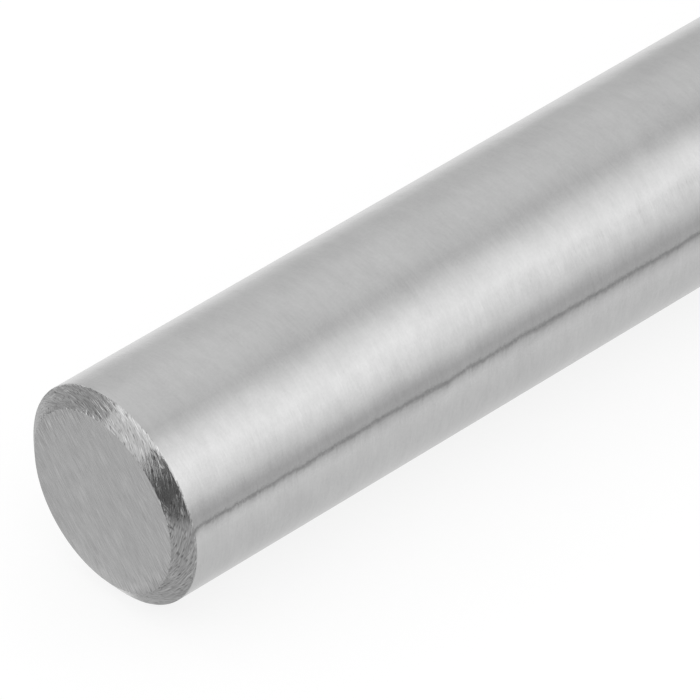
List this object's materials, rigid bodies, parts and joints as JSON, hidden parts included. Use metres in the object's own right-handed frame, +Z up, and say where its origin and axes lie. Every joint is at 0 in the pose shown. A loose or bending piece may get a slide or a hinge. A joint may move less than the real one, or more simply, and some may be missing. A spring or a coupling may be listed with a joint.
{
  "type": "round metal bar",
  "caption": "Ground round bar of bright steel with flat faced ends and a crowned, hand-dressed chamfer round each end.",
  "frame": {"origin": "under the middle of the bar, on the line it rests on", "axes": "+X along the bar from the near end to the far end, +Z up from the surface it lies on, +Y across the bar"},
  "size_m": [0.2, 0.012, 0.012],
  "materials": {
    "ground_steel": "ground and satin bright round the bar, straight brushed end faces, coarse belt marks on the chamfers"
  },
  "bodies": {
    "root": {"round_bar": "ground_steel"}
  },
  "joints": []
}
